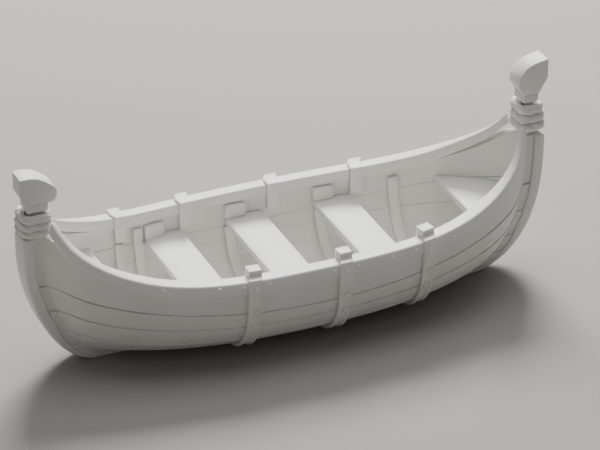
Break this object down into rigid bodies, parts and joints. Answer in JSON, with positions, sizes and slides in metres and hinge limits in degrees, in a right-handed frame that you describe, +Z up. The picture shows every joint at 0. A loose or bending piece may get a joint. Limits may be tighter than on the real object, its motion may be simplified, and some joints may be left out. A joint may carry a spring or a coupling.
{
  "type": "viking rowboat tabletop miniature",
  "caption": "Open double-ended clinker rowboat miniature with square-headed posts, rope lashings, thwarts, end decks and riveted strap irons.",
  "frame": {"origin": "centre of the keel's underside, on the surface that the boat stands on", "axes": "+X along the boat towards the taller bow post, +Y to port, +Z up"},
  "size_m": [0.1511, 0.0538, 0.062],
  "materials": {
    "planks": "matte ivory-white resin with carved wood grain",
    "rails": "matte ivory-white resin, smooth",
    "strap_irons": "matte ivory-white resin with beaded edges and rivet heads",
    "rope": "matte ivory-white resin, moulded as twisted rope",
    "boards": "matte ivory-white resin with faint grain",
    "frames": "matte ivory-white resin",
    "stems": "matte ivory-white resin"
  },
  "bodies": {
    "root": {"bow_deck": "boards", "bow_finial": "stems", "bow_lashing": "rope", "bow_post": "stems", "bow_stem": "stems", "bow_thwart": "boards", "bow_thwart_knee_port": "frames", "bow_thwart_knee_starboard": "frames", "frame_1": "frames", "frame_2": "frames", "frame_3": "frames", "frame_4": "frames", "frame_5": "frames", "gunwale_port": "rails", "gunwale_starboard": "rails", "keel": "stems", "middle_thwart": "boards", "middle_thwart_knee_port": "frames", "middle_thwart_knee_starboard": "frames", "stern_deck": "boards", "stern_finial": "stems", "stern_lashing": "rope", "stern_post": "stems", "stern_stem": "stems", "stern_thwart": "boards", "stern_thwart_knee_port": "frames", "stern_thwart_knee_starboard": "frames", "strake_port_1": "planks", "strake_port_2": "planks", "strake_port_3": "planks", "strake_port_4": "planks", "strake_port_5": "planks", "strake_starboard_1": "planks", "strake_starboard_2": "planks", "strake_starboard_3": "planks", "strake_starboard_4": "planks", "strake_starboard_5": "planks", "strap_aft_port": "strap_irons", "strap_bow_port": "strap_irons", "strap_bow_starboard": "strap_irons", "strap_middle_port": "strap_irons", "strap_middle_starboard": "strap_irons", "strap_stern_port": "strap_irons", "strap_stern_starboard": "strap_irons"}
  },
  "joints": []
}
